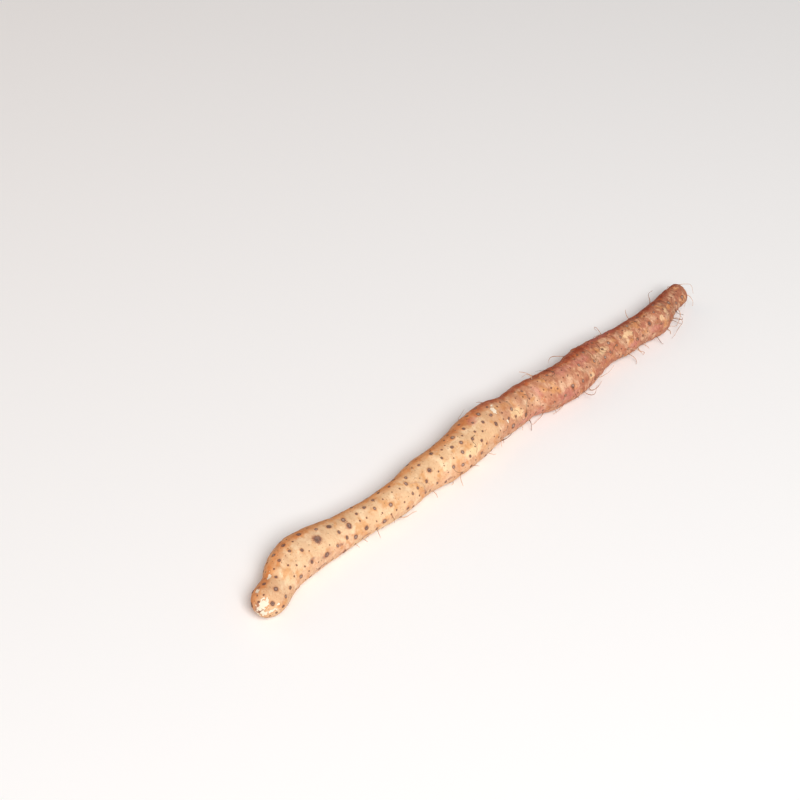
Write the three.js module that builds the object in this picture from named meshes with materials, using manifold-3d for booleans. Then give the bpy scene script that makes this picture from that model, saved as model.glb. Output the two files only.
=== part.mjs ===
// A chinese yam: one long tuber that swells and narrows as it goes, lying on a level surface.
// Millimetres. +X runs from the growing tip to the crown, +Z is up, and the origin is at the
// bottom centre of the tuber's box.
import * as THREE from "three";
import { mergeVertices } from "three/addons/utils/BufferGeometryUtils.js";
import Module from "manifold-3d";

// Driving dimensions
const LENGTH = 550; // straight line from the tip to the crown's end
const TIP_DOME = 15; // length of the round end at the growing tip
const CROWN_DOME = 9; // length of the blunter round end at the crown
const REST_DEPTH = 0.6; // how far each resting place is pressed flat
const OVAL = 0.02; // share of the girth by which a section is oval, turning slowly along the tuber
const THREE_SIDED = 0.013; // share of the girth by which a section is slightly three-sided
const OVAL_TURN = 190; // length in which the oval turns once round
const THREE_SIDED_TURN = 130; // length in which the three-sided swelling turns once round

// Facets
const RINGS = 104; // sections along the tuber
const SIDES = 30; // sides of each section

// The tuber's lie, station by station. along: distance from the tip. aside: how far the middle of
// the section lies to the left of the straight line from tip to crown. girth: its thickness.
// gap: the space between its underside and the surface, less than nothing where the tuber rests.
const stations = [
  { along: 0, aside: -3.5, girth: 26, gap: 2.5 },
  { along: 14, aside: 0.5, girth: 28.5, gap: 2 },
  { along: 29, aside: 5.5, girth: 28, gap: 1.5 },
  { along: 41, aside: 11.5, girth: 34, gap: 0.8 },
  { along: 55, aside: 15, girth: 37.5, gap: -0.2 },
  { along: 75, aside: 15.2, girth: 36.5, gap: -REST_DEPTH },
  { along: 97, aside: 12, girth: 31.5, gap: 0.5 },
  { along: 126, aside: 9, girth: 28, gap: 2 },
  { along: 160, aside: 5, girth: 29.5, gap: 2.5 },
  { along: 195, aside: 8, girth: 31.5, gap: 1.5 },
  { along: 228, aside: 5, girth: 35.5, gap: 0.5 },
  { along: 260, aside: 8, girth: 39, gap: -REST_DEPTH },
  { along: 284, aside: 10, girth: 37.5, gap: 0.5 },
  { along: 304, aside: 7.2, girth: 33, gap: 1 },
  { along: 327, aside: 8.2, girth: 33.5, gap: 1 },
  { along: 347, aside: 2.2, girth: 35, gap: 0 },
  { along: 376, aside: -2, girth: 35.5, gap: -REST_DEPTH },
  { along: 400, aside: 1, girth: 34, gap: 0.2 },
  { along: 423, aside: 2, girth: 29, gap: 1.5 },
  { along: 455, aside: -1.5, girth: 28, gap: 1.5 },
  { along: 478, aside: -2, girth: 28, gap: 0.5 },
  { along: 497, aside: -4, girth: 30.5, gap: -REST_DEPTH },
  { along: 511, aside: -1, girth: 26, gap: 1 },
  { along: 524, aside: 3, girth: 22.5, gap: 3 },
  { along: LENGTH, aside: 4, girth: 21.5, gap: 4 },
];

// The middle line of the tuber, and its girth on the same stations
const middleLine = new THREE.CatmullRomCurve3(
  stations.map(({ along, aside, girth, gap }) => new THREE.Vector3(along, aside, girth / 2 + gap)),
  false,
  "centripetal",
);
const girthLine = new THREE.CatmullRomCurve3(
  stations.map(({ along, girth }) => new THREE.Vector3(along, girth, 0)),
  false,
  "centripetal",
);

// How much of the full girth a section keeps: all of it, but for a round dome at each end
function domeShare(along) {
  const fromTip = Math.min(along / TIP_DOME, 1);
  const fromCrown = Math.min((LENGTH - along) / CROWN_DOME, 1);
  const tipShare = Math.sqrt(Math.max(0, 1 - (1 - fromTip) ** 2));
  const crownShare = Math.sqrt(Math.max(0, 1 - (1 - fromCrown) ** 2));
  return tipShare * crownShare;
}

// Where each section is along the middle line, from 0 to 1. The sections crowd together
// towards the ends, where the domes curve in.
function sectionPlace(ring) {
  const even = ring / RINGS;
  const crowding = 0.6;
  return even - (crowding * Math.sin(2 * Math.PI * even)) / (2 * Math.PI);
}

// The radius of a section on one side, with its slight swellings
function sideRadius(girth, along, angle) {
  const oval = OVAL * Math.sin(2 * angle + (2 * Math.PI * along) / OVAL_TURN);
  const threeSided = THREE_SIDED * Math.sin(3 * angle - (2 * Math.PI * along) / THREE_SIDED_TURN);
  return (girth / 2) * (1 + oval + threeSided);
}

// The whole skin: a ring of points for each section, closed with a fan at each end
function tuberGeometry() {
  const worldUp = new THREE.Vector3(0, 0, 1);
  const points = [];
  const triangles = [];
  const addPoint = (point) => points.push(point.x, point.y, point.z) / 3 - 1;

  const tipPoint = addPoint(middleLine.getPoint(0));
  const firstRing = tipPoint + 1;
  for (let ring = 1; ring < RINGS; ring += 1) {
    const place = sectionPlace(ring);
    const centre = middleLine.getPoint(place);
    const { y: girth } = girthLine.getPoint(place);
    const forward = middleLine.getTangent(place);
    const left = new THREE.Vector3().crossVectors(worldUp, forward).normalize();
    const up = new THREE.Vector3().crossVectors(forward, left);
    for (let side = 0; side < SIDES; side += 1) {
      const angle = (2 * Math.PI * side) / SIDES;
      const radius = sideRadius(girth, centre.x, angle) * domeShare(centre.x);
      const point = centre
        .clone()
        .addScaledVector(left, radius * Math.cos(angle))
        .addScaledVector(up, radius * Math.sin(angle));
      addPoint(point);
    }
  }
  const crownPoint = addPoint(middleLine.getPoint(1));

  const corner = (ring, side) => firstRing + ring * SIDES + (side % SIDES);
  const lastRing = RINGS - 2;
  for (let side = 0; side < SIDES; side += 1) {
    triangles.push(tipPoint, corner(0, side + 1), corner(0, side));
    triangles.push(crownPoint, corner(lastRing, side), corner(lastRing, side + 1));
    for (let ring = 0; ring < lastRing; ring += 1) {
      triangles.push(corner(ring, side), corner(ring, side + 1), corner(ring + 1, side + 1));
      triangles.push(corner(ring, side), corner(ring + 1, side + 1), corner(ring + 1, side));
    }
  }
  const geometry = new THREE.BufferGeometry();
  geometry.setAttribute("position", new THREE.Float32BufferAttribute(points, 3));
  geometry.setIndex(triangles);
  return geometry;
}

// Solids for joining and cutting
const wasm = await Module();
wasm.setup();

function toSolid(geometry) {
  const bare = geometry.clone();
  bare.deleteAttribute("normal");
  bare.deleteAttribute("uv");
  const merged = mergeVertices(bare);
  return new wasm.Manifold(
    new wasm.Mesh({
      numProp: 3,
      vertProperties: new Float32Array(merged.attributes.position.array),
      triVerts: new Uint32Array(merged.index.array),
    }),
  );
}

function toGeometry(solid) {
  const { vertProperties, triVerts } = solid.getMesh();
  const geometry = new THREE.BufferGeometry();
  geometry.setAttribute("position", new THREE.BufferAttribute(vertProperties, 3));
  geometry.setIndex(new THREE.BufferAttribute(triVerts, 1));
  return geometry;
}

// The skin cut level where it rests, and set over the origin
function restingTuber() {
  const blockSize = 2 * LENGTH;
  const below = new THREE.BoxGeometry(blockSize, blockSize, blockSize);
  below.translate(0, 0, -blockSize / 2);
  const geometry = toGeometry(toSolid(tuberGeometry()).subtract(toSolid(below)));
  geometry.computeBoundingBox();
  const middle = geometry.boundingBox.getCenter(new THREE.Vector3());
  geometry.translate(-middle.x, -middle.y, 0);
  geometry.computeVertexNormals();
  return geometry;
}

const skin = new THREE.MeshStandardMaterial({ color: 0xd9a874, roughness: 0.6, metalness: 0 });
const tuber = new THREE.Mesh(restingTuber(), skin);
tuber.name = "tuber";

const yam = new THREE.Group();
yam.add(tuber);

export default yam;
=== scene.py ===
# %% [markdown]
# # A chinese yam on a white table
# A chinese yam is one long tuber. It swells and narrows as it grows round stones, and its thin
# skin is cream at the young tip and browner towards the crown. Round scars show where rootlets
# grew, and some rootlets are still there. The packed frame gives the tuber's size and place, and
# this lesson wraps a fine skin round it, models the relief, and paints it with nodes.

# %% Load the frame
import math
import random

import bpy
import numpy as np
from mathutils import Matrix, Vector, kdtree, noise
from mathutils.bvhtree import BVHTree


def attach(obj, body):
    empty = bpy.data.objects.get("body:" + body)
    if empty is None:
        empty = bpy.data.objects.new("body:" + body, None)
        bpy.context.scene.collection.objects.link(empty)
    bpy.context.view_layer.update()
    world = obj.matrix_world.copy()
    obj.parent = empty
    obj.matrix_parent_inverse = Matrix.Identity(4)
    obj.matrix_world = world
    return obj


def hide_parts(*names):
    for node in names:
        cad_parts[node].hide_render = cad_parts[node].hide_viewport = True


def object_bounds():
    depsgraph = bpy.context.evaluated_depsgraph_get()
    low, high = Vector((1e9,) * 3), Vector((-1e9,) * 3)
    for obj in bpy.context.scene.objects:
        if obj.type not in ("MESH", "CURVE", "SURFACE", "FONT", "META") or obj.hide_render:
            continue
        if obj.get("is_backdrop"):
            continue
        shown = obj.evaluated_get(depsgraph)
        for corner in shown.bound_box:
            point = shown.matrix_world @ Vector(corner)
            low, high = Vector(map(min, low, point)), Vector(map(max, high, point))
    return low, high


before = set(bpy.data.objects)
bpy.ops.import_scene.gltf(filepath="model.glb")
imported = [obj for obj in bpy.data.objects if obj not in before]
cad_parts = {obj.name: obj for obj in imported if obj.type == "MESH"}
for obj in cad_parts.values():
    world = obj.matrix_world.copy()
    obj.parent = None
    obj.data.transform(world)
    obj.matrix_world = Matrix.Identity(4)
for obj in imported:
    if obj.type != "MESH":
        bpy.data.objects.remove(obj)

MM = 0.001
cad_low, cad_high = (Vector(corner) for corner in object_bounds())
cad_size = cad_high - cad_low
LENGTH = cad_size.x
print("tuber box in mm:", [round(side / MM, 1) for side in cad_size])

# %% [markdown]
# ## Table and light
# A plain pale sheet and soft studio light show the skin's own colours. A big square lamp above
# the camera's side makes the broad, gentle highlight along the tuber, a wider and weaker one
# fills the far side, and a pale sky keeps the shadow under the tuber soft. Lamps much bigger
# than the tuber were chosen, because small ones would give hard edges to every bump.

# %% Table, lamps and sky
SHEET_SIZE = 14.0  # metres, so that its edge is never seen
PAPER_WHITE = (0.96, 0.96, 0.96)
WARM_LIGHT = (1, 0.58, 0.34)


def plain_material(name, colour, roughness):
    material = bpy.data.materials.new(name)
    material.use_nodes = True
    surface = material.node_tree.nodes["Principled BSDF"]
    surface.inputs["Base Color"].default_value = (*colour, 1)
    surface.inputs["Roughness"].default_value = roughness
    return material


def direction(azimuth, elevation):
    """Unit vector from the tuber towards a place on the sky, both angles in degrees."""
    turn, rise = math.radians(azimuth), math.radians(elevation)
    flat = math.cos(rise)
    return Vector((math.sin(turn) * flat, -math.cos(turn) * flat, math.sin(rise)))


def square_lamp(name, azimuth, elevation, distance, size, power, colour=(1, 1, 1)):
    lamp = bpy.data.lights.new(name, "AREA")
    lamp.size = size
    lamp.energy = power
    lamp.color = colour
    holder = bpy.data.objects.new(name, lamp)
    bpy.context.collection.objects.link(holder)
    towards = direction(azimuth, elevation)
    holder.location = towards * distance
    holder.rotation_euler = towards.to_track_quat("Z", "Y").to_euler()
    return holder


bpy.ops.mesh.primitive_plane_add(size=SHEET_SIZE, location=(0, 0, 0))
sheet = bpy.context.object
sheet.name = "white_sheet"
sheet.data.materials.append(plain_material("white paper", PAPER_WHITE, roughness=0.9))
sheet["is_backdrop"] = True

square_lamp("key_lamp", azimuth=-30, elevation=47, distance=4.2, size=2.1, power=165)
square_lamp("fill_lamp", azimuth=-150, elevation=35, distance=4.2, size=2.8, power=22,
            colour=WARM_LIGHT)

sky = bpy.data.worlds.new("pale sky")
sky.use_nodes = True
sky.node_tree.nodes["Background"].inputs["Color"].default_value = (1, 1, 1, 1)
sky.node_tree.nodes["Background"].inputs["Strength"].default_value = 0.27
bpy.context.scene.world = sky
bpy.context.scene.view_settings.view_transform = "Standard"
bpy.context.scene.view_settings.gamma = 0.88

# %% [markdown]
# ## Camera
# The camera looks down at the tuber from the tip's end, over its right side, so the tuber runs
# away from the lower left to the upper right. A longish lens from a metre and a half keeps the
# far crown from shrinking too much.

# %% Camera
CAMERA_AZIMUTH = -45.9  # degrees
CAMERA_ELEVATION = 42.3
CAMERA_DISTANCE = 1.49  # metres
LENS = 75  # mm
SIGHT_ALONG = -0.011  # the sight line meets the table this far along from the tuber's middle
SIGHT_ASIDE = 0.0927  # and this far to the left of it

camera_data = bpy.data.cameras.new("camera")
camera_data.lens = LENS
camera = bpy.data.objects.new("camera", camera_data)
bpy.context.collection.objects.link(camera)
middle = (cad_low + cad_high) / 2
sight = Vector((middle.x + SIGHT_ALONG, middle.y + SIGHT_ASIDE, 0))
backwards = direction(CAMERA_AZIMUTH, CAMERA_ELEVATION)
camera.location = sight + backwards * CAMERA_DISTANCE
camera.rotation_euler = backwards.to_track_quat("Z", "Y").to_euler()
bpy.context.scene.camera = camera
print("camera at", [round(v, 3) for v in camera.location])

# %% [markdown]
# ## The tuber's middle line
# The packed tuber is a plain faceted solid. Its middle line is needed to wrap a finer skin round
# it. It could be drawn again by hand, but then the two could drift apart, so it is measured: at
# each step along the solid, rays go out to the walls all round, and the mean of the places they
# meet is the middle. Both ends then run on straight until they leave the solid.

# %% Measure the middle line
END_MARGIN = 12 * MM
SLICE_STEP = 4 * MM
CENTRING_PASSES = 3  # each takes the point closer to the middle of its slice

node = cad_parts["tuber"]
shell = BVHTree.FromPolygons(
    [node.matrix_world @ v.co for v in node.data.vertices],
    [list(p.vertices) for p in node.data.polygons],
)


def wall_distance(start, towards):
    """How far it is from a point inside the tuber to its wall."""
    place, _, _, distance = shell.ray_cast(Vector(start), Vector(towards))
    return distance if place else 0.0


def soften(line, passes):
    """Evens out a list of points, keeping its two ends."""
    line = np.array(line, dtype=float)
    for _ in range(passes):
        line[1:-1] = (line[:-2] + 2 * line[1:-1] + line[2:]) / 4
    return line


slice_turns = np.linspace(0, 2 * math.pi, 24, endpoint=False)
slice_rays = [(0, math.cos(t), math.sin(t)) for t in slice_turns]
tip_point = min((v.co for v in node.data.vertices), key=lambda co: co.x)
centre = Vector((0, tip_point.y, cad_size.z * 0.4))  # a first guess, inside the tip
middles = []
for x in np.arange(cad_low.x + END_MARGIN, cad_high.x - END_MARGIN, SLICE_STEP):
    centre.x = x
    for _ in range(CENTRING_PASSES):
        hits = [Vector(centre) + Vector(ray) * wall_distance(centre, ray) for ray in slice_rays]
        centre = sum(hits, Vector()) / len(hits)
    middles.append(list(centre))
middles = soften(middles, 4)


def end_point(inner, outer):
    """Where the straight line through two inside points leaves the tuber."""
    towards = Vector(outer - inner).normalized()
    return np.array(Vector(outer) + towards * wall_distance(outer, towards))


tip_end = end_point(middles[3], middles[0])
crown_end = end_point(middles[-4], middles[-1])
middles = np.vstack([tip_end, middles, crown_end])
steps = np.linalg.norm(np.diff(middles, axis=0), axis=1)
middle_distance = np.concatenate([[0], np.cumsum(steps)])
SPAN = middle_distance[-1]
print("middle line:", len(middles), "points,", round(SPAN / MM, 1), "mm long")

# %% [markdown]
# ## A fine net round the tuber
# The skin is a net of rings with the same number of points in each. Rings square to the middle
# line keep the net's squares even, which suits wrinkles that run round the tuber. A voxel remesh
# would give even faces too, but no rings to follow. The rings are spaced evenly along the skin
# itself, so that they close up over the round ends, and the facets are softened away.

# %% Rings of the net
RINGS = 850
SIDES = 112


def sections(distances):
    """Centre, forward, left and up at each distance along the middle line."""
    fine = np.linspace(0, SPAN, 1200)
    line = np.stack([np.interp(fine, middle_distance, middles[:, k]) for k in range(3)], axis=1)
    line = soften(line, 60)
    slope = soften(np.gradient(line, axis=0), 60)
    centres = np.stack([np.interp(distances, fine, line[:, k]) for k in range(3)], axis=1)
    forward = np.stack([np.interp(distances, fine, slope[:, k]) for k in range(3)], axis=1)
    forward /= np.linalg.norm(forward, axis=1, keepdims=True)
    left = np.cross((0, 0, 1), forward)
    left /= np.linalg.norm(left, axis=1, keepdims=True)
    return centres, forward, left, np.cross(forward, left)


def radii_at(distances, turns):
    """The tuber's radius at each distance along the middle line, on each side."""
    centres, _, left, up = sections(distances)
    rows = []
    for c, l, u in zip(centres, left, up):
        rows.append([wall_distance(c, l * math.cos(t) + u * math.sin(t)) for t in turns])
    return np.array(rows)


even = np.linspace(0, 1, 2400)
bunched = even - 0.98 * np.sin(2 * math.pi * even) / (2 * math.pi)  # closest near both ends
probe = SPAN * bunched
profile = radii_at(probe, slice_turns[::3]).mean(axis=1)
profile[0] = profile[-1] = 0
skin_length = np.concatenate([[0], np.cumsum(np.hypot(np.diff(probe), np.diff(profile)))])
ring_distance = np.interp(np.linspace(0, skin_length[-1], RINGS + 1), skin_length, probe)
turns = np.linspace(0, 2 * math.pi, SIDES, endpoint=False)
radii = radii_at(ring_distance, turns)
radii[0] = radii[-1] = 0
print("rings", round(skin_length[-1] / RINGS / MM, 2), "mm apart along the skin")

# %% Points of the net, softened
centres, forward, left, up = sections(ring_distance)
around = left[:, None] * np.cos(turns)[:, None] + up[:, None] * np.sin(turns)[:, None]
net = centres[:, None] + around * radii[:, :, None]


def beyond_ends(rows):
    """Adds a row past each end, which is the next row seen across the pole."""
    first = np.roll(rows[1], SIDES // 2, axis=0)
    last = np.roll(rows[-2], SIDES // 2, axis=0)
    return np.concatenate([first[None], rows, last[None]])


def soften_net(rows, along_passes, round_passes):
    for _ in range(along_passes):
        wide = beyond_ends(rows)
        rows = (wide[:-2] + 2 * rows + wide[2:]) / 4
        rows[0] = rows[0].mean(axis=0)
        rows[-1] = rows[-1].mean(axis=0)
    for _ in range(round_passes):
        rows = (np.roll(rows, 1, axis=1) + 2 * rows + np.roll(rows, -1, axis=1)) / 4
    return rows


def net_normals(rows):
    wide = beyond_ends(rows)
    onwards = wide[2:] - wide[:-2]
    sideways = np.roll(rows, -1, axis=1) - np.roll(rows, 1, axis=1)
    normals = np.cross(sideways, onwards)
    normals[0] = -forward[0]
    normals[-1] = forward[-1]
    return normals / np.linalg.norm(normals, axis=2, keepdims=True)


net = soften_net(net, along_passes=26, round_passes=22)
normals = net_normals(net)
along = (net[:, :, 0] - cad_low.x) / MM  # millimetres from the tip
turn_of = np.broadcast_to(turns, along.shape)
girth_line = np.linalg.norm(net - centres[:, None], axis=2)
print("net points:", net.shape[0] * net.shape[1])

# %% [markdown]
# ## Root scars
# Every rootlet leaves a round scar: a low brown rim with a paler, sunken middle. The largest sit
# at listed places, and seeded random darts fill in the rest. A dart is kept only if it is clear of
# the others, which gives the even scatter of the real thing, where plain random places would
# clump. Towards the crown they are smaller and closer together.

# %% Places of the scars
random.seed(11)
# distance from the tip in mm, turn round the tuber in degrees from its left side, width in mm
BOLD_SCARS = [
    (19, 117, 4.0), (10, 142, 3.8), (23, 156, 3.2), (27, 92, 2.8), (38, 85, 2.8), (50, 66, 3.6),
    (66, 73, 4.2), (57, 116, 3.0), (74, 115, 6.6), (75, 165, 4.6), (59, 153, 3.2), (91, 97, 4.4),
    (105, 95, 4.4), (105, 122, 5.0), (106, 163, 4.0), (93, 194, 4.6), (118, 101, 2.4),
    (133, 116, 3.2), (146, 131, 3.3), (118, 159, 3.8), (136, 170, 3.6), (169, 107, 3.8),
    (174, 90, 2.9), (195, 122, 4.2), (208, 81, 3.4), (216, 153, 3.4), (233, 80, 3.8),
    (245, 121, 3.0), (268, 85, 4.4), (273, 135, 4.3), (292, 172, 4.6), (297, 124, 3.4),
    (309, 163, 4.2), (363, 151, 4.4), (375, 154, 3.9), (380, 110, 3.2), (398, 132, 3.6),
    (427, 114, 3.6), (478, 128, 4.4), (514, 114, 4.4), (536, 147, 3.8),
]
DARTS = 5200
CLEAR_GAP = 2.4  # mm of bare skin kept round each scar, besides a share of its width
ROD_RADIUS = 16  # mm, the radius of a straight, even rod about as thick as the tuber

flat_net = net.reshape(-1, 3)
flat_along = along.reshape(-1)
flat_turn = np.degrees(turn_of.reshape(-1))


def net_point(along_mm, turn_degrees):
    """The net's nearest point to a distance from the tip and a turn round the tuber."""
    off_turn = (flat_turn - turn_degrees + 180) % 360 - 180
    off_round = np.radians(off_turn) * ROD_RADIUS
    return int(np.argmin((flat_along - along_mm) ** 2 + off_round**2))


scar_points = [net_point(a, t) for a, t, _ in BOLD_SCARS]
scar_widths = [w for _, _, w in BOLD_SCARS]
for _ in range(DARTS):
    spot = random.randrange(SIDES, len(flat_net) - SIDES)
    young = 1 - flat_along[spot] * MM / LENGTH
    large = random.random() < 0.35 + 0.25 * young
    width = random.uniform(2.3, 3.6) if large else random.uniform(1.1, 1.9)
    gaps = np.linalg.norm(flat_net[scar_points] - flat_net[spot], axis=1) / MM
    needed = CLEAR_GAP + 0.4 * young + 0.8 * (np.array(scar_widths) + width)
    if np.all(gaps > needed):
        scar_points.append(spot)
        scar_widths.append(width)
scar_places = flat_net[scar_points]
scar_widths = np.array(scar_widths)
scar_lengths = scar_widths * np.array([random.uniform(0.75, 1.1) for _ in scar_widths])
scar_chance = np.array([random.random() for _ in scar_widths])
print("scars:", len(scar_points), "widths", scar_widths.min(), "to", scar_widths.max(), "mm")

# %% [markdown]
# ## Each point's nearest scar
# The paint and the relief both need to know how far each point is from its scar, in scar radii,
# and in which direction. A tree of the scar centres answers that quickly. The direction is kept
# as two numbers on the skin, because those blend truly between the net's points, so that the
# painted rims stay round however close the view.

# %% Nearest scar to every point
tree = kdtree.KDTree(len(scar_places))
for k, place in enumerate(scar_places):
    tree.insert(place, k)
tree.balance()

nearest = np.zeros(len(flat_net), dtype=int)
for i, place in enumerate(flat_net):
    options = tree.find_n(place, 3)
    nearest[i] = min(options, key=lambda o: o[2] / scar_widths[o[1]])[1]

offset = flat_net - scar_places[nearest]
flat_forward = np.repeat(forward, SIDES, axis=0)
flat_normal = normals.reshape(-1, 3)
flat_sideways = np.cross(flat_normal, flat_forward)
scar_u = (offset * flat_forward).sum(axis=1) / (scar_lengths[nearest] * MM / 2)
scar_v = (offset * flat_sideways).sum(axis=1) / (scar_widths[nearest] * MM / 2)
scar_far = np.hypot(scar_u, scar_v)
print("points on a scar:", int((scar_far < 1).sum()))

# %% [markdown]
# ## Relief
# What is seen at the edge of the tuber has to be real shape. Four things make it: broad, uneven
# swellings, fine wrinkles that run round the tuber and deepen towards the crown, a few creases
# where growth stopped and started again, and a low rim and pit for each scar. Each is a height in
# millimetres, and their sum moves the net's points along its normals.

# %% Swellings and wrinkles
def swellings(places, size, seed, octaves=2):
    """Soft noise from about -1 to 1 at each place, with lumps of the given size."""
    shift = Vector((seed * 7.3, seed * 3.1, seed * 5.7))
    return np.array([noise.fractal(Vector(p) / size + shift, 0.9, 2.1, octaves) for p in places])


def smooth_step(values, start, stop):
    """Goes softly from 0 to 1 as the values go from start to stop."""
    t = np.clip((values - start) / (stop - start), 0, 1)
    return t * t * (3 - 2 * t)


flat_turn_radians = np.radians(flat_turn)
rod_radius = np.minimum(girth_line.reshape(-1) / MM, ROD_RADIUS)
unbent = np.stack([
    flat_along,
    rod_radius * np.cos(flat_turn_radians),
    rod_radius * np.sin(flat_turn_radians),
], axis=1)  # the skin as if the tuber were a straight, even rod with round ends, in mm

flat_share = flat_along * MM / LENGTH
age = smooth_step(flat_share, 0.35, 0.8)
broad = 0.75 * swellings(flat_net, 22 * MM, 1) + 0.32 * swellings(flat_net, 8 * MM, 2)
sway_along = 2.6 * swellings(unbent, 11, 8)
swayed_places = unbent + np.stack([sway_along, 0 * sway_along, 0 * sway_along], axis=1)
wrinkle_noise = swellings(swayed_places * (1 / 2.4, 1 / 8, 1 / 8), 1, 3, octaves=3)
wrinkles = (0.05 + 0.26 * age) * (0.45 - np.abs(wrinkle_noise) * 1.6)
pebbles = (0.07 + 0.16 * age) * swellings(unbent, 3.4, 9)
fold_noise = swellings(unbent * (1 / 7, 1 / 26, 1 / 26), 1, 4, octaves=2)
folds = (0.12 + 0.55 * age) * fold_noise
print("broad swellings up to", round(np.abs(broad).max(), 2), "mm")

# %% Creases
# distance from the tip in mm, middle of the crease's arc and its half width in degrees, depth
CREASES = [
    (36, 60, 75, 0.7), (97, 125, 80, 0.5), (103, 60, 60, 0.4), (141, 40, 60, 0.3),
    (236, 95, 70, 0.35), (300, 80, 90, 0.6), (331, 150, 110, 0.7), (343, 60, 80, 0.5),
    (402, 100, 90, 0.5), (412, 170, 70, 0.5), (436, 80, 70, 0.4), (470, 110, 90, 0.45),
    (508, 170, 90, 0.8), (513, 60, 60, 0.4),
]
CREASE_WIDTH = 2.0  # mm

creases = np.zeros(len(flat_net))
wander = 3.5 * swellings(unbent / 14, 1, 6)
for place, arc_middle, arc_half, depth in CREASES:
    off_turn = np.abs((flat_turn - arc_middle + 180) % 360 - 180)
    strength = 1 - smooth_step(off_turn, 0.5 * arc_half, arc_half)
    across = (flat_along + wander - place) / CREASE_WIDTH
    creases -= depth * strength * np.exp(-across * across)
print("creases:", len(CREASES))

# %% Scar relief
FULL_SCAR = 4  # mm wide, a scar with the full relief
RIM_HEIGHT, MOUND_HEIGHT, PIT_DEPTH = 0.34, 0.16, 0.34  # mm


def scar_height(far, width):
    """A raised rim round a shallow pit, fading to nothing outside."""
    size = np.clip(width / FULL_SCAR, 0.3, 1.3)
    rim = RIM_HEIGHT * np.exp(-(((far - 0.72) / 0.34) ** 2))
    mound = MOUND_HEIGHT * np.exp(-((far / 1.25) ** 2))
    pit = PIT_DEPTH * np.exp(-((far / 0.42) ** 2))
    return size * (rim + mound - pit)


scar_relief = scar_height(scar_far, scar_widths[nearest])
print("scar relief from", round(scar_relief.min(), 2), "to", round(scar_relief.max(), 2), "mm")

# %% [markdown]
# ## Rubbed patches, blushes and stains
# At the growing tip the papery skin is rubbed off in ragged white patches. Further up, the skin
# blushes pink in places, and some scars have bled a purplish stain into the skin round them. Each
# is a soft-edged strength from 0 to 1 at every point, painted from a short list of places, and
# noise in the material frays its edge.

# %% Patches on the skin
def patches(places):
    """Strength from 0 to 1 of oval patches: mm from tip, turn, half length, half width in mm."""
    strength = np.zeros(len(flat_net))
    for along_mm, turn_degrees, half_length, half_width in places:
        off_turn = (flat_turn - turn_degrees + 180) % 360 - 180
        off_round = np.radians(off_turn) * (girth_line.reshape(-1) / MM)
        off_along = flat_along - along_mm
        far = np.hypot(off_along / half_length, off_round / half_width)
        strength = np.maximum(strength, 1 - smooth_step(far, 0.0, 1.6))
    return strength


rubbed = patches([
    (4.5, 118, 5, 4.5), (2.5, 185, 2.5, 4), (8, 172, 4, 2), (8.5, 60, 2, 2.5), (14, 158, 2, 1.5),
    (24, 68, 3.5, 2), (281, 104, 2.6, 4.2), (284, 88, 2.5, 1.2), (287, 151, 2, 2), (3, 300, 3, 5),
    (16, 250, 6, 3), (42, 330, 4, 3),
])
pale = patches([
    (417, 123, 6, 5), (389, 161, 4, 3.5), (493, 134, 4, 4), (502, 120, 4, 3), (300, 140, 9, 7),
    (240, 150, 14, 6), (450, 118, 9, 4), (345, 320, 12, 8), (470, 260, 14, 6),
])
blush = patches([
    (259, 84, 9, 6), (327, 200, 8, 9), (330, 121, 5, 11), (357, 176, 17, 11), (364, 92, 14, 7),
    (385, 100, 14, 7), (482, 156, 11, 5), (452, 166, 12, 5), (310, 185, 22, 4), (425, 60, 25, 6),
    (300, 300, 26, 9), (410, 280, 30, 8), (200, 265, 20, 6), (500, 20, 20, 7), (150, 20, 14, 5),
])
stain = patches([
    (75, 166, 6, 2.6), (67, 190, 8, 1.8), (93, 193, 7, 2.4), (60, 150, 5, 1.6), (118, 190, 6, 1.6),
    (90, 160, 4, 1.5), (10, 57, 4, 2), (1, 101, 2.5, 5), (136, 172, 5, 1.8), (210, 185, 5, 1.5),
    (105, 123, 4, 3), (74, 115, 4, 4.5),
])
marks = {"rubbed": rubbed, "pale": pale, "blush": blush, "stain": stain}
for name, strength in marks.items():
    print(name, "covers", round(float((strength > 0.5).mean()) * 100, 1), "% of the skin")

# %% [markdown]
# ## The skin as a mesh
# The heights are added up, the points are moved, and nothing is let below the table, so that the
# skin stays flat where the tuber rests. The numbers that the paint needs go on the mesh as
# attributes. A baking map is laid out too: the skin is slit along its underside and cut into
# three strips, which fill a square evenly and without overlap.

# %% Move the points
PAPERY_SKIN = 0.15  # mm, its thickness
FADE_RINGS = 8  # the relief fades out over so many rings at each end

rubbed_off = PAPERY_SKIN * smooth_step(rubbed, 0.3, 0.6)
height = (broad + wrinkles + pebbles + folds + creases + scar_relief - rubbed_off) * MM
near_end = np.minimum(np.arange(RINGS + 1), RINGS - np.arange(RINGS + 1))
fade = np.repeat(smooth_step(near_end, 0, FADE_RINGS), SIDES)
skin_points = flat_net + flat_normal * (height * fade)[:, None]
skin_points[:, 2] = np.maximum(skin_points[:, 2], 0)
skin_points = skin_points.reshape(RINGS + 1, SIDES, 3)
skin_points[:, :, 0] = np.clip(skin_points[:, :, 0], cad_low.x, cad_high.x)
print("relief from", round(height.min() / MM, 2), "to", round(height.max() / MM, 2), "mm")

# %% Faces of the skin
inner = skin_points[1:-1].reshape(-1, 3)
vertices = np.vstack([skin_points[0, :1], inner, skin_points[-1, :1]])
crown_vertex = len(vertices) - 1


def corner(ring, side):
    """Vertex number of a corner of the net. The first and last rings are single points."""
    if ring == 0:
        return 0
    if ring == RINGS:
        return crown_vertex
    return 1 + (ring - 1) * SIDES + side % SIDES


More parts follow.
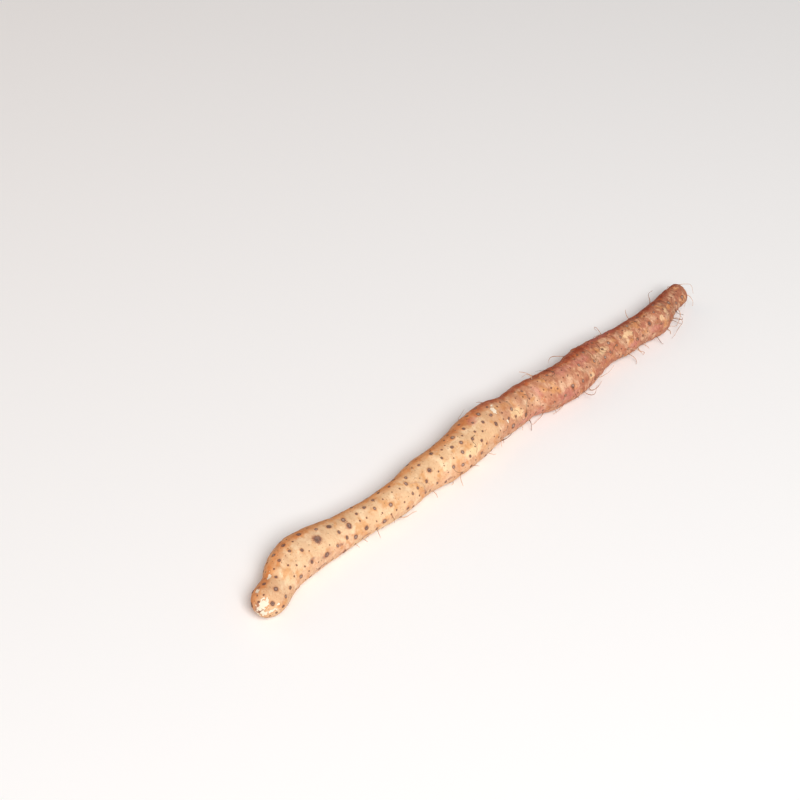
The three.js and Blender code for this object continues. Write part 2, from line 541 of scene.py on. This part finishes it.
faces = []
face_corners = []  # (ring, side) of each corner, for the baking map
for ring in range(RINGS):
    for side in range(SIDES):
        loop = [(ring, side), (ring, side + 1), (ring + 1, side + 1), (ring + 1, side)]
        if ring == 0:
            loop = [(0, side + 0.5), (1, side + 1), (1, side)]
        if ring == RINGS - 1:
            loop = [(ring, side), (ring, side + 1), (RINGS, side + 0.5)]
        faces.append([corner(r, int(s)) for r, s in loop])
        face_corners.extend(loop)

skin_mesh = bpy.data.meshes.new("yam_skin")
skin_mesh.from_pydata(vertices.tolist(), [], faces)
skin_mesh.polygons.foreach_set("use_smooth", [True] * len(faces))
skin = bpy.data.objects.new("yam_skin", skin_mesh)
bpy.context.collection.objects.link(skin)
triangles = sum(len(face) - 2 for face in faces)
print("skin:", len(vertices), "points,", triangles, "triangles")

# %% Numbers for the paint
def per_vertex(values):
    """One value a vertex from one a net point: each end ring becomes a single point."""
    grid = np.asarray(values).reshape(RINGS + 1, SIDES, -1)
    return np.concatenate([grid[0, :1], grid[1:-1].reshape(-1, grid.shape[2]), grid[-1, :1]])


def add_numbers(mesh, name, values):
    data = mesh.attributes.new(name, "FLOAT", "POINT").data
    data.foreach_set("value", per_vertex(values).astype(np.float32).ravel())


def add_vectors(mesh, name, values):
    data = mesh.attributes.new(name, "FLOAT_VECTOR", "POINT").data
    data.foreach_set("vector", per_vertex(values).astype(np.float32).ravel())


add_vectors(skin_mesh, "unbent", unbent)
add_vectors(skin_mesh, "scar", np.stack([scar_u, scar_v, scar_chance[nearest]], axis=1))
add_numbers(skin_mesh, "scar_far", np.minimum(scar_far, 6))
add_numbers(skin_mesh, "scar_width", scar_widths[nearest])
for name, strength in marks.items():
    add_numbers(skin_mesh, name, strength)
print("attributes:", [a.name for a in skin_mesh.attributes if not a.name.startswith(".")])

# %% The baking map
STRIPS = 3
STRIP_GAP = 0.004

across_rings = ring_distance / SPAN * STRIPS
bake_map = skin_mesh.uv_layers.new(name="OFBake")
uvs = []
first_corner = 0
for face_number, face in enumerate(faces):
    ring = face_number // SIDES
    strip = min(int((across_rings[ring] + across_rings[ring + 1]) / 2), STRIPS - 1)
    for r, s in face_corners[first_corner:first_corner + len(face)]:
        u = across_rings[r] - strip
        v = (strip + STRIP_GAP + (1 - 2 * STRIP_GAP) * s / SIDES) / STRIPS
        uvs.extend((min(max(u, 0), 1), v))
    first_corner += len(face)
bake_map.data.foreach_set("uv", uvs)
print("baking map:", STRIPS, "strips")

# %% [markdown]
# ## Paint kit
# The finishes are made of nodes, so they need no picture files and hold up at any distance. A few
# short helpers keep the recipes readable: each adds one kind of node to a material and hands back
# its output, so a recipe reads as a row of plain steps.

# %% Colours picked on screen
def screen_colour(red, green, blue):
    """A colour picked on screen, 0 to 255, as the linear colour that the renderer works in."""
    def linear(level):
        level /= 255
        return level / 12.92 if level <= 0.04045 else ((level + 0.055) / 1.055) ** 2.4
    return (linear(red), linear(green), linear(blue), 1.0)


print("cream on screen (248, 200, 153) is", [round(v, 2) for v in screen_colour(248, 200, 153)[:3]])

# %% A recipe made of nodes
class Recipe:
    """A material and short ways to add nodes to it."""

    def __init__(self, name):
        self.material = bpy.data.materials.new(name)
        self.material.use_nodes = True
        self.tree = self.material.node_tree
        self.surface = self.tree.nodes["Principled BSDF"]

    def node(self, kind, **settings):
        made = self.tree.nodes.new(kind)
        for key, value in settings.items():
            setattr(made, key, value)
        return made

    def feed(self, socket, value):
        """Links a node's output to a socket, or sets the socket to a plain value."""
        if isinstance(value, bpy.types.NodeSocket):
            self.tree.links.new(value, socket)
        else:
            socket.default_value = value

    def math(self, operation, first, second=0.0, clamp=False):
        made = self.node("ShaderNodeMath", operation=operation, use_clamp=clamp)
        self.feed(made.inputs[0], first)
        self.feed(made.inputs[1], second)
        return made.outputs[0]

    def number(self, name):
        return self.node("ShaderNodeAttribute", attribute_name=name).outputs["Fac"]

    def vector(self, name):
        return self.node("ShaderNodeAttribute", attribute_name=name).outputs["Vector"]

    def scaled(self, vector, factors):
        made = self.node("ShaderNodeVectorMath", operation="MULTIPLY")
        self.feed(made.inputs[0], vector)
        made.inputs[1].default_value = factors
        return made.outputs[0]

    def parts(self, vector):
        made = self.node("ShaderNodeSeparateXYZ")
        self.feed(made.inputs[0], vector)
        return made.outputs

    def noise(self, places, size, detail=2.0, shift=0.0):
        """Soft noise around 0.5 with lumps of the given size, in the units of places."""
        moved = self.node("ShaderNodeVectorMath", operation="ADD")
        self.feed(moved.inputs[0], places)
        moved.inputs[1].default_value = (shift, shift * 0.7, shift * 1.3)
        made = self.node("ShaderNodeTexNoise")
        self.feed(made.inputs["Vector"], moved.outputs[0])
        made.inputs["Scale"].default_value = 1 / size
        made.inputs["Detail"].default_value = detail
        return made.outputs[0]

    def centred(self, noise, amount):
        """Noise moved to lie round 0 instead of 0.5, and made stronger or weaker."""
        return self.math("MULTIPLY", self.math("SUBTRACT", noise, 0.5), amount)

    def between(self, value, start, stop, low=0.0, high=1.0):
        """Goes softly from low to high as the value goes from start to stop."""
        made = self.node("ShaderNodeMapRange", interpolation_type="SMOOTHSTEP")
        for socket, given in zip(made.inputs, (value, start, stop, low, high)):
            self.feed(socket, given)
        return made.outputs[0]

    def blend(self, amount, below, above, mode="MIX"):
        made = self.node("ShaderNodeMix", data_type="RGBA", blend_type=mode)
        for socket, given in ((0, amount), (6, below), (7, above)):
            self.feed(made.inputs[socket], given)
        return made.outputs[2]

    def ramp(self, value, stops):
        made = self.node("ShaderNodeValToRGB")
        while len(made.color_ramp.elements) < len(stops):
            made.color_ramp.elements.new(0.5)
        for element, (place, colour) in zip(made.color_ramp.elements, stops):
            element.position = place
            element.color = colour
        self.feed(made.inputs[0], value)
        return made.outputs[0]


print("ways to add nodes:", [name for name in vars(Recipe) if not name.startswith("_")])

# %% [markdown]
# ## The skin's colour
# The skin is laid down in layers: a ground that goes from cream at the young tip through peach
# to brown at the crown, cloudy lighter and ochre mottling and fine lines round the tuber, all as
# it grew, then painted shade along both flanks, deepest on the left side and towards the crown,
# then pink blushes and purplish stains, scars, and rubbed patches on top. Each layer has its own
# soft mask, so one can be turned down and leave the rest alone.

# %% The skin's colours
LIGHT_CREAM = screen_colour(254, 228, 192)
OCHRE = screen_colour(222, 160, 100)
FRECKLE = screen_colour(206, 136, 92)
UMBER = screen_colour(160, 102, 74)
ROSE = screen_colour(212, 136, 114)
LINE_BROWN = screen_colour(176, 106, 66)
LINE_CREAM = screen_colour(250, 214, 172)
WRINKLE_BROWN = screen_colour(170, 100, 68)
BLUSH_PINK = screen_colour(208, 132, 122)
PALE_PEACH = screen_colour(253, 222, 176)
STAIN_PURPLE = screen_colour(158, 108, 100)
SCAR_HALO = screen_colour(196, 120, 78)
SCAR_BROWN = screen_colour(122, 88, 76)
SCAR_GREY = screen_colour(184, 158, 144)
ROOT_POINT = screen_colour(78, 52, 44)
SPECK_BROWN = screen_colour(120, 76, 56)
SCUFF_BROWN = screen_colour(196, 122, 70)
BARE_WHITE = screen_colour(245, 230, 208)
# these three are painted shade, and multiply what is under them
LEFT_PAINTED_SHADE = (1.0, 0.66, 0.40, 1)
CROWN_PAINTED_SHADE = (0.82, 0.60, 0.61, 1)
RIGHT_FLANK_PAINTED_SHADE = (0.92, 0.78, 0.80, 1)
print("darkest colour, the root point:", [round(v, 3) for v in ROOT_POINT[:3]])

# %% Ground and mottling
p = Recipe("yam skin")
places = p.vector("unbent")
along_mm, leftwards, _ = p.parts(places)
drift = p.centred(p.noise(places, 34), 0.26)
aged = p.math("ADD", p.math("DIVIDE", along_mm, LENGTH / MM), drift, clamp=True)
ground = p.ramp(aged, [
    (0.00, screen_colour(227, 182, 140)), (0.10, screen_colour(236, 200, 160)),
    (0.45, screen_colour(233, 194, 152)), (0.58, screen_colour(210, 157, 124)),
    (0.72, screen_colour(199, 139, 109)), (0.90, screen_colour(190, 129, 102)),
    (1.00, screen_colour(174, 115, 90)),
])
old = p.between(aged, 0.42, 0.75)

light_cloud = p.between(p.noise(places, 11, detail=4, shift=40), 0.50, 0.66)
light_amount = p.math("MULTIPLY", light_cloud, p.between(old, 0, 1, 0.60, 0.36))
colour = p.blend(light_amount, ground, LIGHT_CREAM)
ochre_cloud = p.between(p.noise(places, 8, detail=5, shift=80), 0.50, 0.68)
colour = p.blend(p.math("MULTIPLY", ochre_cloud, 0.70), colour, OCHRE)
freckles = p.between(p.noise(places, 1.3, detail=3, shift=140), 0.56, 0.70)
freckles = p.math("MULTIPLY", freckles, 0.42)
colour = p.blend(freckles, colour, FRECKLE)
brown_cloud = p.between(p.noise(places, 4.5, detail=5, shift=160), 0.50, 0.66)
brown_amount = p.math("MULTIPLY", brown_cloud, p.between(old, 0, 1, 0.06, 0.50))
colour = p.blend(brown_amount, colour, UMBER)
rose_cloud = p.between(p.noise(places, 16, detail=4, shift=120), 0.46, 0.64)
rose_amount = p.math("MULTIPLY", rose_cloud, p.between(old, 0, 1, 0.08, 0.30))
colour = p.blend(rose_amount, colour, ROSE)
print("skin nodes:", len(p.tree.nodes))

# %% Fine lines round the tuber
sway = p.node("ShaderNodeCombineXYZ")
p.feed(sway.inputs[0], p.centred(p.noise(places, 5, detail=3, shift=70), 9))
swayed = p.node("ShaderNodeVectorMath", operation="ADD")
p.feed(swayed.inputs[0], places)
p.feed(swayed.inputs[1], sway.outputs[0])
fine_lines = p.noise(p.scaled(swayed.outputs[0], (1 / 0.6, 1 / 4, 1 / 4)), 1, detail=4, shift=10)
broad_lines = p.noise(p.scaled(swayed.outputs[0], (1 / 1.8, 1 / 6, 1 / 6)), 1, detail=4, shift=30)
line_patches = p.between(p.noise(places, 15, detail=3, shift=50), 0.38, 0.60)
line_amount = p.math("MULTIPLY", p.between(fine_lines, 0.53, 0.68), line_patches)
line_amount = p.math("MULTIPLY", line_amount, p.between(old, 0, 1, 0.25, 0.50))
colour = p.blend(line_amount, colour, LINE_BROWN)
pale_lines = p.between(broad_lines, 0.36, 0.46, 1, 0)
pale_lines = p.math("MULTIPLY", pale_lines, p.between(old, 0, 1, 0.2, 0.38))
colour = p.blend(pale_lines, colour, LINE_CREAM)
brown_lines = p.between(broad_lines, 0.55, 0.66)
brown_lines = p.math("MULTIPLY", brown_lines, p.between(old, 0, 1, 0.10, 0.50))
colour = p.blend(brown_lines, colour, WRINKLE_BROWN)
print("nodes with the lines:", len(p.tree.nodes))

# %% Painted shade on the flanks, blushes and stains
frayed = p.centred(p.noise(places, 3.2, detail=5, shift=60), 1.3)


def frayed_mask(name, start, stop):
    return p.between(p.math("ADD", p.number(name), frayed), start, stop)


side = p.math("DIVIDE", leftwards, ROD_RADIUS)  # from -1 on the right to 1 on the left
side = p.math("ADD", side, p.math("MULTIPLY", frayed, 0.5))
# painted shade: the left side, which faces away from the key lamp, is darkened to orange brown
left_shade_band = p.between(side, 0.50, 0.95, 1, 0.35)  # the painted shade is deepest high on the left side
left_painted_shade = p.math("MULTIPLY", p.between(side, -0.10, 0.50, 0, 0.90), left_shade_band)
colour = p.blend(left_painted_shade, colour, LEFT_PAINTED_SHADE, "MULTIPLY")
# more painted shade on the left side, growing towards the older crown half
crown_painted_shade = p.math("MULTIPLY", p.between(side, -0.05, 0.45), left_shade_band)
crown_painted_shade = p.math("MULTIPLY", crown_painted_shade, p.between(aged, 0.30, 0.58))
colour = p.blend(crown_painted_shade, colour, CROWN_PAINTED_SHADE, "MULTIPLY")
# painted shade along the right flank's edge, where the skin turns under
right_flank_shade = p.math("MULTIPLY", p.between(side, -1.0, -0.80, 1, 0), 0.7)
colour = p.blend(right_flank_shade, colour, RIGHT_FLANK_PAINTED_SHADE, "MULTIPLY")
blush_amount = p.math("MULTIPLY", frayed_mask("blush", 0.30, 1.05), 0.52)
colour = p.blend(blush_amount, colour, BLUSH_PINK)
pale_amount = p.math("MULTIPLY", frayed_mask("pale", 0.35, 0.80), 0.60)
colour = p.blend(pale_amount, colour, PALE_PEACH)
stain_amount = p.math("MULTIPLY", frayed_mask("stain", 0.25, 0.80), 0.55)
colour = p.blend(stain_amount, colour, STAIN_PURPLE)
print("nodes with blushes and stains:", len(p.tree.nodes))

# %% [markdown]
# ## Scars and specks
# A scar is a dark, ragged rim with a greyer centre, and often a dark point where the rootlet broke
# off. Its distance in radii comes from the two numbers kept on the skin, roughened with fine noise.
# Tiny specks between the scars come from a cell texture, in which each cell has its own chance of
# holding one.

# %% Scars
across_scar, round_scar, scar_luck = p.parts(p.vector("scar"))
scar_flat = p.node("ShaderNodeCombineXYZ")
p.feed(scar_flat.inputs[0], across_scar)
p.feed(scar_flat.inputs[1], round_scar)
scar_radius = p.node("ShaderNodeVectorMath", operation="LENGTH")
p.feed(scar_radius.inputs[0], scar_flat.outputs[0])
rough_edge = p.centred(p.noise(places, 0.65, detail=3, shift=5), 1.0)
rough_edge = p.math("MULTIPLY", rough_edge, p.between(p.number("scar_width"), 4.4, 6.4, 1, 2.3))
far_from_scar = p.math("ADD", scar_radius.outputs["Value"], rough_edge)
sure = p.between(p.number("scar_far"), 1.5, 2.1, 0, 9)  # keeps out blends between two scars
far_from_scar = p.math("ADD", far_from_scar, sure)

wide = p.between(p.number("scar_width"), 1.6, 3.2)
halo = p.math("MULTIPLY", p.between(far_from_scar, 0.9, 1.8, 1, 0), 0.42)
colour = p.blend(halo, colour, SCAR_HALO)
scar_strength = p.between(old, 0, 1, 0.92, 0.82)
body = p.math("MULTIPLY", p.between(far_from_scar, 0.84, 1.02, 1, 0), scar_strength)
colour = p.blend(body, colour, SCAR_BROWN)
grey_centre = p.math("MULTIPLY", p.between(far_from_scar, 0.40, 0.72, 1, 0), wide)
grey_centre = p.math("MULTIPLY", grey_centre, p.between(scar_luck, 0.15, 0.85, 0.95, 0.35))
colour = p.blend(grey_centre, colour, SCAR_GREY)
dark_point = p.between(far_from_scar, 0.06, 0.26, 1, 0)
dark_point = p.math("MULTIPLY", dark_point, p.between(scar_luck, 0.55, 0.65))
dark_point = p.math("MULTIPLY", dark_point, wide)
colour = p.blend(dark_point, colour, ROOT_POINT)
print("nodes with the scars:", len(p.tree.nodes))

# %% Specks
SPECK_CELL = 3.0  # mm
cells = p.node("ShaderNodeTexVoronoi")
p.feed(cells.inputs["Vector"], places)
cells.inputs["Scale"].default_value = 1 / SPECK_CELL
cell_luck = p.parts(cells.outputs["Color"])[0]
speck = p.between(cells.outputs["Distance"], 0.10, 0.17, 1, 0)
speck = p.math("MULTIPLY", speck, p.between(cell_luck, 0.30, 0.60))
colour = p.blend(p.math("MULTIPLY", speck, 0.7), colour, SPECK_BROWN)
print("nodes with the specks:", len(p.tree.nodes))

# %% Rubbed patches
torn = p.centred(p.noise(places, 2.0, detail=4, shift=90), 2.2)
rubbed_edge = p.math("ADD", p.number("rubbed"), torn)
scuffed = p.math("MULTIPLY", p.between(rubbed_edge, 0.30, 0.50), 0.45)
colour = p.blend(scuffed, colour, SCUFF_BROWN)
bare = p.between(rubbed_edge, 0.50, 0.56)
colour = p.blend(bare, colour, BARE_WHITE)
p.feed(p.surface.inputs["Base Color"], colour)
print("skin nodes:", len(p.tree.nodes))

# %% [markdown]
# ## The skin's shine and finest bumps
# Fresh skin has a dull satin shine, and scars and rubbed patches have none. Bumps under half a
# millimetre are too fine for the net, so they are left to a bump node, which bends the light and
# not the shape.

# %% Roughness and bump
roughness = p.between(p.noise(places, 6, detail=3, shift=15), 0.3, 0.7, 0.56, 0.70)
roughness = p.math("ADD", roughness, p.math("MULTIPLY", body, 0.2))
roughness = p.math("ADD", roughness, p.math("MULTIPLY", bare, 0.2), clamp=True)
p.feed(p.surface.inputs["Roughness"], roughness)
p.surface.inputs["Specular IOR Level"].default_value = 0.4

grain = p.math("MULTIPLY", p.noise(places, 0.8, detail=4, shift=25), 0.16)
line_relief = p.math("MULTIPLY", fine_lines, p.between(old, 0, 1, 0.07, 0.34))
scar_bump = p.between(far_from_scar, 0.45, 0.85)
scar_bump = p.math("MULTIPLY", scar_bump, p.between(far_from_scar, 0.85, 1.15, 1, 0))
scar_bump = p.math("MULTIPLY", scar_bump, 0.10)
bump_height = p.math("ADD", p.math("ADD", grain, line_relief), scar_bump)
bump_height = p.math("SUBTRACT", bump_height, p.math("MULTIPLY", bare, 0.08))
bump = p.node("ShaderNodeBump")
bump.inputs["Strength"].default_value = 0.8
bump.inputs["Distance"].default_value = MM
p.feed(bump.inputs["Height"], bump_height)
p.feed(p.surface.inputs["Normal"], bump.outputs[0])
skin_mesh.materials.append(p.material)
print("skin nodes:", len(p.tree.nodes))

# %% [markdown]
# ## Rootlets
# Hair-thin rootlets grow from some scars, mostly on the older half. They leave the skin, curl, and
# droop. Hair particles would be quickest, but they carry no mesh, so each rootlet is grown here
# step by step as a line that wanders, keeps off the skin and the table, and becomes a thin
# five-sided tube that tapers to its end.

# %% How a rootlet grows
skin_tree = BVHTree.FromPolygons([Vector(v) for v in vertices], faces)
ROOTLET_STEP = 1.1 * MM
REACH = 9.0 * MM  # how far a rootlet may stray from the skin
REACH_MARGIN = 8 * MM  # and from the tuber's box
reach_low = cad_low - Vector((1, 1, 0)) * REACH_MARGIN
reach_high = cad_high + Vector((1, 1, 1)) * REACH_MARGIN


def random_direction():
    return Vector([random.gauss(0, 1) for _ in range(3)]).normalized()


def grow(start, towards, steps, clearance, curl, droop, reach):
    """A wandering line from a point on the skin."""
    line = [start - towards * 0.5 * MM, start]
    bend = random_direction()
    for _ in range(steps):
        bend = (bend + random_direction() * 0.55).normalized()
        towards = (towards + bend * curl + Vector((0, 0, -droop))).normalized()
        place = line[-1] + towards * ROOTLET_STEP
        near, skin_normal, _, distance = skin_tree.find_nearest(place)
        inside = (place - near).dot(skin_normal) < 0
        if inside or distance < clearance:
            place = near + skin_normal * clearance
            towards = (place - line[-1]).normalized()
        elif distance > reach:
            towards = (towards - skin_normal * 0.5).normalized()
            place = line[-1] + towards * ROOTLET_STEP
        place.z = max(place.z, clearance)
        for k in range(3):
            place[k] = min(max(place[k], reach_low[k]), reach_high[k])
        line.append(place)
    return line


print("faces that a rootlet keeps off:", len(faces))

# %% Grow the rootlets
ROOTED_WIDTH = 1.8  # mm, scars wider than this may still hold a rootlet
TOP_OF_TUBER = 0.45  # where the skin faces up more than this, most rootlets have been rubbed off

rootlets = []  # each is a line, its thickness at the skin and its shade from 0 to 1
rooted = [k for k in range(len(scar_places)) if scar_widths[k] > ROOTED_WIDTH]
random.shuffle(rooted)
for k in rooted:
    near, skin_normal, _, _ = skin_tree.find_nearest(scar_places[k])
    share_here = (near.x - cad_low.x) / LENGTH
    flank = 1 - abs(skin_normal.z)
    likely = 0.04 + 0.96 * share_here**1.3
    if skin_normal.z > TOP_OF_TUBER:
        likely *= 0.06
    if random.random() > likely or flank < 0.15:
        continue
    scatter = random_direction() * 0.5
    lean = Vector((random.uniform(-1.4, 1.4), 0, 0))
    towards = (skin_normal * 0.6 + scatter + lean).normalized()
    steps = int(random.uniform(5, 16) + 18 * share_here * random.random())
    line = grow(near, towards, steps, clearance=0.45 * MM, curl=0.18, droop=0.05, reach=REACH)
    rootlets.append((line, random.uniform(0.5, 0.9) * MM, 0.85 * random.random() ** 1.4))
print("rootlets:", len(rootlets))

# %% Hairs that lie on the skin
# distance from the tip in mm, turn in degrees, number of steps, heading along the tuber
LYING_HAIRS = [
    (216, 153, 16, -1), (208, 81, 12, 1), (248, 118, 20, -1), (300, 132, 16, 1), (318, 108, 26, 1),
    (352, 96, 22, 1), (408, 70, 30, 1), (420, 132, 14, -1), (462, 88, 18, 1), (150, 60, 12, 1),
    (380, 250, 24, 1), (300, 330, 24, -1), (480, 300, 20, 1), (90, 290, 12, 1),
]
for along_mm_here, turn_here, steps, heading in LYING_HAIRS:
    start_point = Vector(skin_points.reshape(-1, 3)[net_point(along_mm_here, turn_here)])
    near, skin_normal, _, _ = skin_tree.find_nearest(start_point)
    towards = (Vector((heading, 0, 0)) + random_direction() * 0.8).normalized()
    line = grow(near, towards, steps, clearance=0.16 * MM, curl=0.50, droop=0, reach=0.3 * MM)
    rootlets.append((line, random.uniform(0.34, 0.46) * MM, 1.0))
print("with lying hairs:", len(rootlets))

# %% Turn the lines into tubes
TUBE_SIDES = 5
BAKE_COLUMNS = 4
TAPER = 0.65  # how much of its thickness a rootlet loses by its end

tube_points, tube_faces, tube_uvs, tube_share, tube_shade = [], [], [], [], []
bake_rows = math.ceil(len(rootlets) / BAKE_COLUMNS)
for number, (line, thickness, shade) in enumerate(rootlets):
    line = [Vector(v) for v in soften([list(v) for v in line], 6)]
    first = len(tube_points)
    column, row = number % BAKE_COLUMNS, number // BAKE_COLUMNS
    side_way = Vector((0, 0, 1))
    for i, place in enumerate(line):
        ahead = (line[min(i + 1, len(line) - 1)] - line[max(i - 1, 0)]).normalized()
        side_way = (side_way - ahead * side_way.dot(ahead)).normalized()
        third_way = ahead.cross(side_way)
        t = i / (len(line) - 1)
        radius = thickness / 2 * (1 - TAPER * t) * (1 + 0.2 * math.sin(7 * t + 9 * shade))
        for s in range(TUBE_SIDES):
            turn = 2 * math.pi * s / TUBE_SIDES
            spot = place + (side_way * math.cos(turn) + third_way * math.sin(turn)) * radius
            spot.z = max(spot.z, 0.0)
            tube_points.append(spot)
            tube_share.append(t)
            tube_shade.append(shade)
    for i in range(len(line) - 1):
        for s in range(TUBE_SIDES):
            ring = first + i * TUBE_SIDES
            after = (s + 1) % TUBE_SIDES
            ring_ahead = ring + TUBE_SIDES
            tube_faces.append((ring + s, ring + after, ring_ahead + after, ring_ahead + s))
            for di, ds in ((0, 0), (0, 1), (1, 1), (1, 0)):
                u = (column + 0.03 + 0.94 * (i + di) / (len(line) - 1)) / BAKE_COLUMNS
                v = (row + 0.08 + 0.84 * (s + ds) / TUBE_SIDES) / bake_rows
                tube_uvs.extend((u, v))
print("tube points:", len(tube_points))

# %% The rootlets' mesh
tube_mesh = bpy.data.meshes.new("yam_rootlets")
tube_mesh.from_pydata(tube_points, [], tube_faces)
tube_mesh.polygons.foreach_set("use_smooth", [True] * len(tube_faces))
for name, values in (("along_root", tube_share), ("shade", tube_shade)):
    tube_mesh.attributes.new(name, "FLOAT", "POINT").data.foreach_set("value", values)
tube_map = tube_mesh.uv_layers.new(name="OFBake")
tube_map.data.foreach_set("uv", tube_uvs)
roots = bpy.data.objects.new("yam_rootlets", tube_mesh)
bpy.context.collection.objects.link(roots)
print("rootlet triangles:", 2 * len(tube_faces))

# %% [markdown]
# ## Rootlet finish
# A rootlet is dry and tan, darker where it leaves the scar, and no two are quite alike. A shade
# kept on each one, and noise along it, do this with one material for them all.

# %% Rootlet colour
p = Recipe("rootlet")
root_places = p.node("ShaderNodeNewGeometry").outputs["Position"]
root_noise = p.noise(root_places, 2.4 * MM, detail=3)
mixed = p.math("ADD", p.number("shade"), p.centred(root_noise, 0.9))
root_colour = p.ramp(mixed, [
    (0.0, screen_colour(222, 182, 154)), (0.55, screen_colour(190, 144, 116)),
    (0.8, screen_colour(128, 88, 68)), (1.0, screen_colour(74, 50, 40)),
])
near_scar = p.between(p.number("along_root"), 0.0, 0.2, 0.4, 0.0)
root_colour = p.blend(near_scar, root_colour, screen_colour(96, 64, 50))
p.feed(p.surface.inputs["Base Color"], root_colour)
p.feed(p.surface.inputs["Roughness"], p.between(root_noise, 0.3, 0.7, 0.62, 0.8))
p.surface.inputs["Specular IOR Level"].default_value = 0.3
tube_mesh.materials.append(p.material)
print("rootlet nodes:", len(p.tree.nodes))

# %% [markdown]
# ## Hand over
# Both pieces move with the one body. The skin stands for the packed tuber, so the plain solid
# isn't shown. The box round the visual model is measured and kept beside the solid's own box, to
# show how closely the two agree.

# %% Bind the pieces and keep the sizes
for piece, finish in ((skin, "skin"), (roots, "rootlets")):
    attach(piece, "root")
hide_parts("tuber")

sizes = {
    "cad_bounds_m": [list(cad_low), list(cad_high)],
    "visual_bounds_m": [list(corner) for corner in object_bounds()],
}
for name, (low, high) in sizes.items():
    print(name, [round(v / MM, 1) for v in low], [round(v / MM, 1) for v in high])
